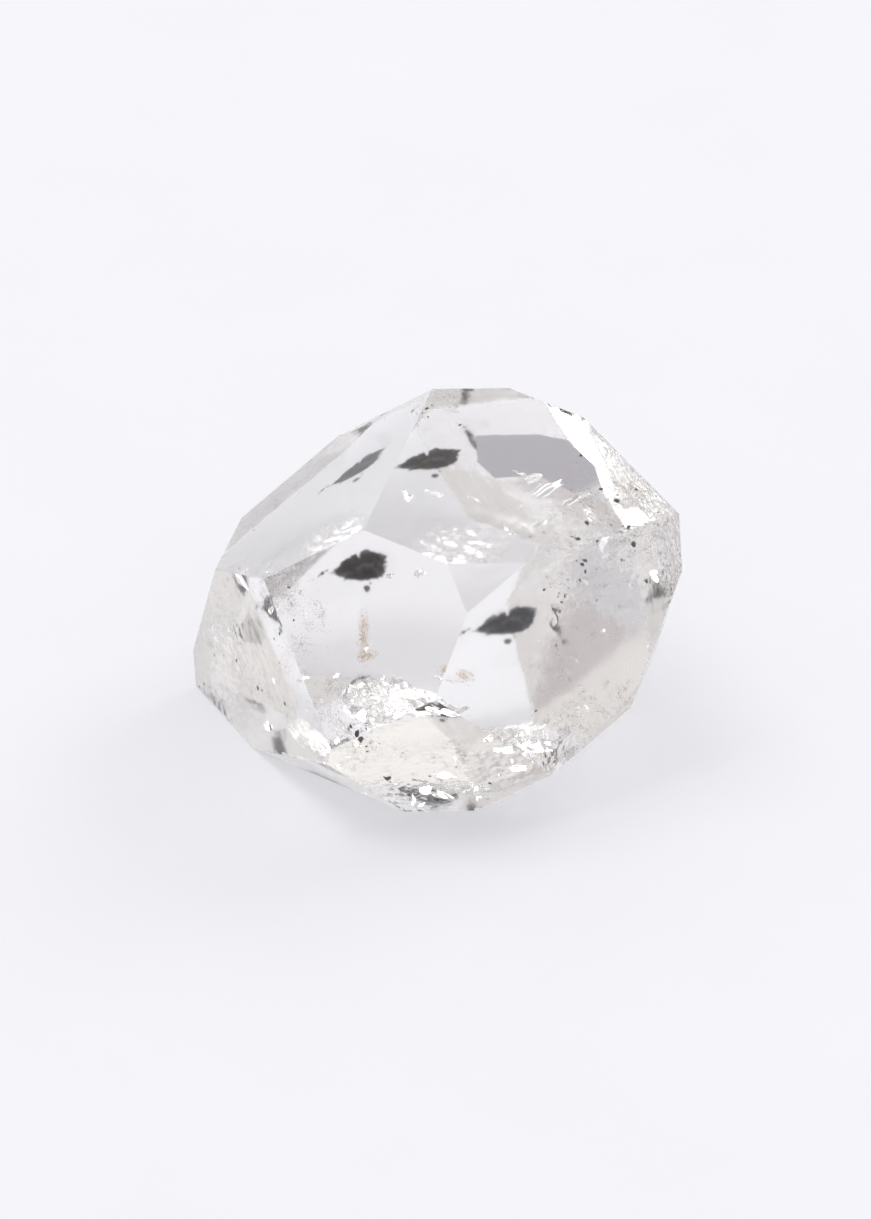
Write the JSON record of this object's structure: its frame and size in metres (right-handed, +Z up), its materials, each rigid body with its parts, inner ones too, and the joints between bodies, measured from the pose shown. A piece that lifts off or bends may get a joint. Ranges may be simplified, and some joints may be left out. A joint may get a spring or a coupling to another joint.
{
  "type": "herkimer diamond, a doubly terminated quartz crystal",
  "caption": "Clear, stubby quartz crystal pointed at both ends, lying on one slanting face, with a dark carbon flake sealed inside.",
  "frame": {"origin": "middle of the bounding box, at the height of the surface the crystal lies on", "axes": "+Z up, away from the resting face; +X to the right and +Y away from a viewer who looks as in the picture"},
  "size_m": [0.0098, 0.009, 0.0063],
  "materials": {
    "quartz": "polished natural crystal faces, clear and colourless",
    "carbon": "dull black, slightly brown"
  },
  "bodies": {
    "root": {"crystal_lower": "quartz", "crystal_upper": "quartz", "carbon_flake": "carbon", "carbon_grain": "carbon"}
  },
  "joints": []
}
